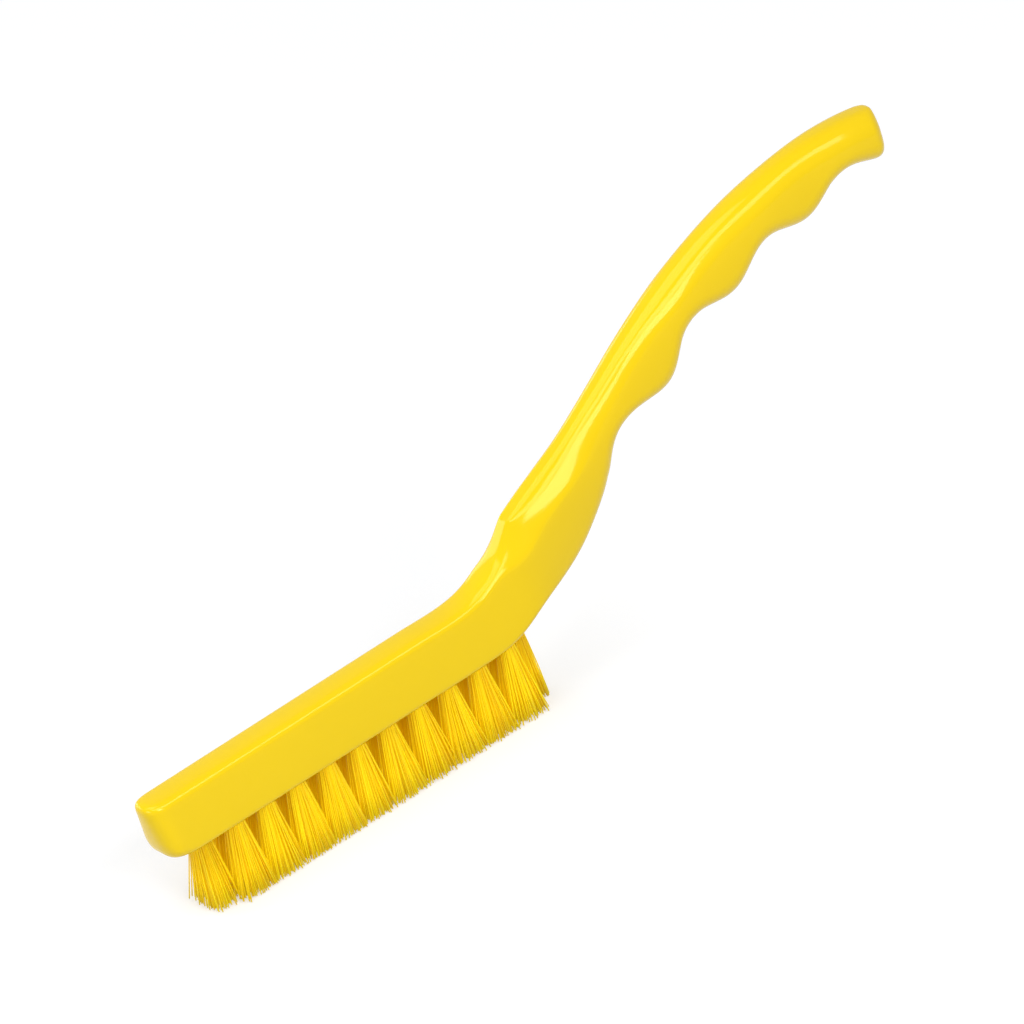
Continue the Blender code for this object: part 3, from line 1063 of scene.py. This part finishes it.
    def leg(self, place: TuftPlace, spot: Vector, chance: random.Random) -> list[Vector]:
        """Points of one leg of a filament, from its tip up into the hole.

        Args:
            place: The tuft.
            spot: Place in the hole from the tuft's middle, as a share of its radius.
            chance: Source of the small differences between strands.

        Returns:
            The free points, one at the hole's mouth and one beside the anchor.
        """
        reach = self.hole_diameter / 2 - self.filament_diameter / 2 - self.hole_play
        inside = place.root + Vector((spot.x * reach, spot.y * reach, 0.0))
        fan = self.square_spot(spot)
        spread = chance.uniform(*self.spread_range)
        if chance.random() < self.stray_share:
            spread *= chance.uniform(*self.stray_range)
        drift = Vector((chance.gauss(0.0, self.drift[0]), chance.gauss(0.0, self.drift[1]), 0.0))
        tip = place.tip + Vector((fan.x * place.spread[0], fan.y * place.spread[1], 0.0)) * spread + drift
        tip.y = min(max(tip.y, -self.widest), self.widest)
        tip.z = self.lowest_tip + min(abs(chance.gauss(0.0, self.raggedness)), self.raggedness_limit)
        bow = Vector((chance.gauss(0.0, self.bow), chance.gauss(0.0, self.bow), 0.0))
        free = [tip.lerp(inside, share) + bow * math.sin(math.pi * share) for share in self.free_shares]
        mouth, top = inside.copy(), inside.copy()
        mouth.z += self.mouth_rise
        top.z = self.anchor_centre(place.root).z
        return [*free, mouth, top]

    def filament_path(self, place: TuftPlace, index: int, chance: random.Random) -> list[Vector]:
        """Points of one filament: a leg on each side of the anchor and the fold above it.

        Args:
            place: The tuft.
            index: Number of the filament in its tuft.
            chance: Source of the small differences between strands.

        Returns:
            The points, from one tip to the other.
        """
        slit = (self.anchor_thickness / 2 + self.filament_diameter / 2) / (self.hole_diameter / 2)
        distance = math.sqrt((index + 0.5) / self.folded_filaments)
        angle = index * math.pi * (3.0 - math.sqrt(5.0))
        across = distance * math.cos(angle)
        aside = max(abs(distance * math.sin(angle)), slit)
        near_leg = self.leg(place, Vector((across, -aside, 0.0)), chance)
        across += chance.gauss(0.0, self.fold_drift)
        far_leg = self.leg(place, Vector((across, aside, 0.0)), chance)
        fold = (near_leg[-1] + far_leg[-1]) / 2
        crest = self.anchor_centre(place.root).z + self.anchor_height / 2
        fold.z = crest + self.fold_lift + self.fold_rise * aside
        return [*near_leg, fold, *far_leg[::-1]]

    def depth_at(self, place: TuftPlace, point: Vector) -> float:
        """How much painted shade a point of a tuft gets, more the deeper it stands among the bristles.

        Args:
            place: The tuft.
            point: The point.

        Returns:
            0 in the open and up to 1 at the root, less on the outer side of a row.
        """
        trim = self.outline.bristle_trim
        rise = (point.z - self.lit_share * trim) / ((1.0 - self.lit_share) * trim)
        outward = math.copysign(1.0, place.root.y) if abs(place.root.y) > 1.0 else 0.0
        inner = self.middle_shade - self.shade_slope * outward * (point.y - place.root.y)
        return clamp(rise) * blend(self.least_shade, 1.0, clamp(inner))

    def add_strand(self, bm: bmesh.types.BMesh, template: bpy.types.Mesh, path: list[Vector],
                   place: TuftPlace, tone: float) -> None:
        """Bend a copy of the template along a path.

        Args:
            bm: The tuft's mesh, with layers for tone and for depth, the painted shade.
            template: The straight strand.
            path: A point for each of its rings.
            place: The tuft.
            tone: How dull this strand is, from 0 to 1.
        """
        tones, painted_shade_layer = bm.verts.layers.float["tone"], bm.verts.layers.float["depth"]
        first = len(bm.verts)
        bm.from_mesh(template)
        bm.verts.ensure_lookup_table()
        frames = []
        side = Vector((1.0, 0.0, 0.0))
        for index, point in enumerate(path):
            way = path[min(index + 1, len(path) - 1)] - path[max(index - 1, 0)]
            way.normalize()
            side = (side - way * side.dot(way)).normalized()
            frames.append((point, side.copy(), way.cross(side)))
        radius = self.filament_diameter / 2
        for vertex in bm.verts[first:]:
            point, across, up = frames[round(vertex.co.z)]
            vertex.co = point + (across * vertex.co.x + up * vertex.co.y) * radius
            vertex[tones] = tone
            # Each vertex carries its painted shade in the depth layer.
            vertex[painted_shade_layer] = self.depth_at(place, vertex.co)

    def build_tuft(self, place: TuftPlace, template: bpy.types.Mesh,
                   material: bpy.types.Material) -> bpy.types.Object:
        """Model one tuft and let it stand for its node.

        Args:
            place: Where the tuft is.
            template: The straight strand.
            material: Finish of the filaments.

        Returns:
            The finished tuft.
        """
        chance = random.Random(f"tuft {place.label}")
        bm = bmesh.new()
        bm.verts.layers.float.new("tone")
        # The depth layer holds painted shade, darker near the roots and on the inner side of each row.
        bm.verts.layers.float.new("depth")
        for index in range(self.folded_filaments):
            path = self.filament_path(place, index, chance)
            self.add_strand(bm, template, path, place, chance.random())
        tuft = finish_piece(f"filaments_{place.label}", bm, material)
        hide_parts(f"tuft_{place.label}")
        return tuft

    def build(self, material: bpy.types.Material) -> list[bpy.types.Object]:
        """Model every tuft.

        Args:
            material: Finish of the filaments.

        Returns:
            The tufts.
        """
        template = self.strand_template(2 * (len(self.free_shares) + 2) + 1)
        tufts = [self.build_tuft(place, template, material) for place in self.places()]
        bpy.data.meshes.remove(template)
        return tufts


@dataclass
class WireAnchors:
    """The flat wire anchors, which keep their nodes."""

    tufts: TuftRows

    def dress(self, nodes: dict[str, bpy.types.Object], material: bpy.types.Material) -> int:
        """Give every anchor the drawn steel finish.

        Args:
            nodes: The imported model's objects by name.
            material: The steel.

        Returns:
            The number of anchors dressed.
        """
        count = 0
        for place in self.tufts.places():
            mesh = nodes[f"anchor_{place.label}"].data
            if not mesh.materials:
                mesh.materials.append(material)
            for index in range(len(mesh.materials)):
                mesh.materials[index] = material
            count += 1
        return count


@dataclass(frozen=True)
class Softbox:
    """One soft lamp: where it stands, how large and how strong it is."""

    name: str
    direction: tuple[float, float, float]
    distance: float
    size: tuple[float, float]
    strength: float

    def build(self, target: Vector) -> None:
        """Place the lamp and aim it.

        Args:
            target: The point that it faces.
        """
        way = Vector(self.direction).normalized()
        lamp = bpy.data.lights.new(self.name, "AREA")
        lamp.shape = "RECTANGLE"
        lamp.size, lamp.size_y = self.size
        area = self.size[0] * self.size[1]
        lamp.energy = self.strength * area * math.pi
        stand = bpy.data.objects.new(self.name, lamp)
        stand.location = target + way * self.distance
        stand.rotation_mode = "QUATERNION"
        stand.rotation_quaternion = way.to_track_quat("Z", "Y")
        stand.visible_camera = False
        bpy.context.scene.collection.objects.link(stand)


@dataclass
class Studio:
    """Camera, floor, world and lamps of the picture."""

    azimuth: float = -31.0
    elevation: float = 33.0
    roll: float = 14.5
    distance: float = 6.0
    frame_width: float = 0.2048
    sensor: float = 36.0
    anchor: tuple[float, float, float] = (-0.10426, 0.0, 0.02155)
    centre_right: float = 0.0732
    centre_up: float = 0.0662
    world_level: float = 0.36
    floor_colour: Colour = (0.52, 0.53, 0.55, 1.0)
    floor_glow: float = 0.49
    floor_reach: float = 12.0
    floor_drop: float = 0.0001
    lamp_target: tuple[float, float, float] = (0.0, 0.0, 0.04)
    softboxes: tuple[Softbox, ...] = (
        Softbox("overhead", (-0.30, -0.10, 1.0), 1.3, (1.2, 1.0), 2.3),
        Softbox("front_strip", (0.02, -0.745, 0.665), 1.2, (1.6, 0.26), 4.4),
        Softbox("neck_glint", (-0.06, -0.90, 0.44), 1.2, (0.40, 0.32), 7.0),
        Softbox("toe_side", (-1.0, -0.30, 0.16), 1.3, (0.8, 0.4), 3.2),
        Softbox("back_fill", (-0.45, 0.92, 0.30), 1.4, (1.3, 0.7), 3.0),
    )

    def camera(self) -> None:
        """Set the camera to the photograph's view: a long lens, rolled a little."""
        a, e, r = (math.radians(angle) for angle in (self.azimuth, self.elevation, self.roll))
        back = Vector((math.sin(a) * math.cos(e), -math.cos(a) * math.cos(e), math.sin(e)))
        level = Vector((math.cos(a), math.sin(a), 0.0))
        up = back.cross(level)
        right = level * math.cos(r) - up * math.sin(r)
        rise = level * math.sin(r) + up * math.cos(r)
        anchor = Vector(self.anchor)
        eye = anchor + back * self.distance
        aim = anchor + right * self.centre_right + rise * self.centre_up
        view = (eye - aim).normalized()
        side = rise.cross(view).normalized()
        turned = Matrix((side, view.cross(side), view)).transposed()
        lens = bpy.data.cameras.new("camera")
        lens.sensor_width = self.sensor
        lens.lens = self.sensor * self.distance / self.frame_width
        lens.clip_start, lens.clip_end = 0.05, 60.0
        camera = bpy.data.objects.new("camera", lens)
        camera.matrix_world = Matrix.Translation(eye) @ turned.to_4x4()
        bpy.context.scene.collection.objects.link(camera)
        bpy.context.scene.camera = camera

    @staticmethod
    def white_rays(graph: Graph) -> list[Signal]:
        """The kinds of ray that see white: 1 for a ray of that kind and 0 for any other.

        Args:
            graph: The tree of the floor or the world.

        Returns:
            One signal for each kind of ray.
        """
        path = graph.node("ShaderNodeLightPath")
        names = ("Is Camera Ray", "Is Glossy Ray", "Is Transmission Ray")
        return [Signal(graph, path.outputs[name]) for name in names]

    def floor(self) -> None:
        """Lay a pale floor that shows white and keeps the brush's shadow."""
        graph = Graph(bpy.data.materials.new("pale_floor"))
        camera, glossy, transmission = self.white_rays(graph)
        seen = (camera + glossy + transmission).fit(0.0, 1.0)
        diffuse = graph.node("ShaderNodeBsdfDiffuse", None, {"Color": self.floor_colour})
        glow = graph.node("ShaderNodeEmission", None, {"Color": WHITE, "Strength": seen * self.floor_glow})
        both = graph.node("ShaderNodeAddShader", None, {0: diffuse.outputs[0], 1: glow.outputs[0]})
        graph.node("ShaderNodeOutputMaterial", None, {"Surface": both.outputs[0]})
        bm = bmesh.new()
        bmesh.ops.create_grid(bm, x_segments=4, y_segments=4, size=self.floor_reach)
        bmesh.ops.translate(bm, vec=Vector((0.0, 0.0, -self.floor_drop)), verts=bm.verts)
        mesh = bpy.data.meshes.new("studio_floor")
        bm.to_mesh(mesh)
        bm.free()
        mesh.materials.append(graph.owner)
        floor = bpy.data.objects.new("studio_floor", mesh)
        bpy.context.scene.collection.objects.link(floor)

    def world(self) -> None:
        """Light from all round, white where the camera, a reflection or a refraction shows it."""
        world = bpy.data.worlds.new("studio_world")
        bpy.context.scene.world = world
        graph = Graph(world)
        level: Number = self.world_level
        for ray in self.white_rays(graph):
            level = ray.at_least(level)
        background = graph.node("ShaderNodeBackground", None, {"Strength": level})
        graph.node("ShaderNodeOutputWorld", None, {"Surface": background.outputs["Background"]})

    def build(self) -> None:
        """Set the whole studio up."""
        bpy.context.scene.view_settings.view_transform = "Standard"
        self.camera()
        self.floor()
        self.world()
        for softbox in self.softboxes:
            softbox.build(Vector(self.lamp_target))


def main() -> None:
    """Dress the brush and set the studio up."""
    logging.basicConfig(level=logging.INFO, format="%(message)s")
    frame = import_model()
    Studio().build()
    body = MouldedBody()
    heel_lift = (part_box("anchor_heel")[1].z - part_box("anchor_near_01")[1].z) / MM
    tufts = TuftRows(body.outline, heel_lift=heel_lift)
    LOG.info("heel tuft stands %.2f mm higher", heel_lift)
    moulding = body.build(MouldedPlastic().build(), tufts)
    LOG.info("%s: %d faces", moulding.name, len(moulding.data.polygons))
    filaments = BristleFilament().build()
    for tuft in tufts.build(filaments):
        LOG.info("%s: %d faces", tuft.name, len(tuft.data.polygons))
    dressed = WireAnchors(tufts).dress(frame["nodes"], DrawnWire().build())
    LOG.info("anchors dressed: %d", dressed)


if __name__ == "__main__":
    main()
